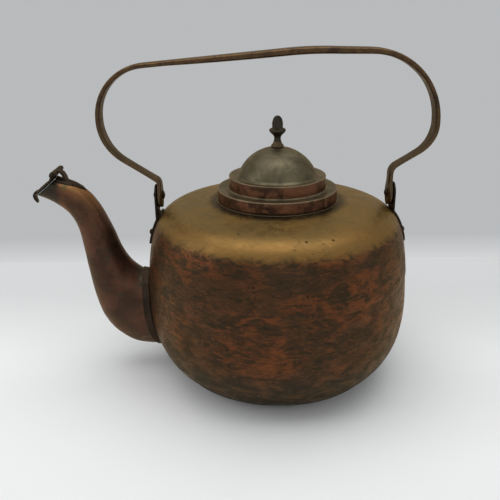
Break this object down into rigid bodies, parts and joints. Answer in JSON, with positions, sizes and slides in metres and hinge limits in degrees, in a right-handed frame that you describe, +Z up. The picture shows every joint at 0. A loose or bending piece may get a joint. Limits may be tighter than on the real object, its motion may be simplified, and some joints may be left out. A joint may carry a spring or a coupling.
{
  "type": "kettle",
  "caption": "Round-bellied sheet copper kettle with a flat strip swing handle on riveted ears, a lift-off stepped dome lid with acorn finial, and a swan-neck spout with a hinged flap.",
  "frame": {"origin": "centre of the flat base, on the surface that the kettle stands on", "axes": "+Z up along the kettle's axis, -X towards the spout's tip, Y along the lid's diameter across the handle's plane"},
  "size_m": [0.3443, 0.23, 0.2844],
  "materials": {
    "body_copper": "aged copper, brown-orange patina with dark mottling",
    "base_copper": "aged copper, greenish brown and scorched",
    "collar_copper": "aged copper, dull",
    "spout_copper": "dark red-brown copper, satin",
    "dark_fittings": "nearly black tarnish",
    "rivet_copper": "dark tarnished copper",
    "handle_copper": "brown copper with worn golden edges",
    "lid_copper": "grey-green bronze patina over copper, worn rims",
    "finial_bronze": "dark bronze, satin",
    "finial_brass": "dull brass"
  },
  "bodies": {
    "kettle": {"body_shell": "body_copper", "base_pan": "base_copper", "neck_collar": "collar_copper", "spout_tube": "spout_copper", "spout_root_collar": "spout_copper", "spout_hinge_strap": "dark_fittings", "flap_hinge_pin": "dark_fittings", "ear_left": "dark_fittings", "ear_right": "dark_fittings", "ear_rivet_left": "rivet_copper", "ear_rivet_right": "rivet_copper", "pivot_rivet_left": "rivet_copper", "pivot_rivet_right": "rivet_copper"},
    "handle": {"bail_handle": "handle_copper"},
    "lid": {"lid_shell": "lid_copper", "lid_inner_collar": "collar_copper", "finial_acorn": "finial_bronze", "finial_foot": "finial_brass", "finial_burr": "finial_brass"},
    "flap": {"spout_flap": "dark_fittings"}
  },
  "joints": [
    {"name": "handle_swing", "type": "hinge", "parent": "kettle", "child": "handle", "pos_m": [0, 0, 0.1635], "axis": [1, 0, 0], "range_deg": [-95, 95]},
    {"name": "lid_lift", "type": "slide", "parent": "kettle", "child": "lid", "axis": [0, 0, 1], "range_m": [0, 0.04]},
    {"name": "flap_hinge", "type": "hinge", "parent": "kettle", "child": "flap", "pos_m": [-0.1885, 0, 0.185], "axis": [0, 1, 0], "range_deg": [0, 100]}
  ]
}
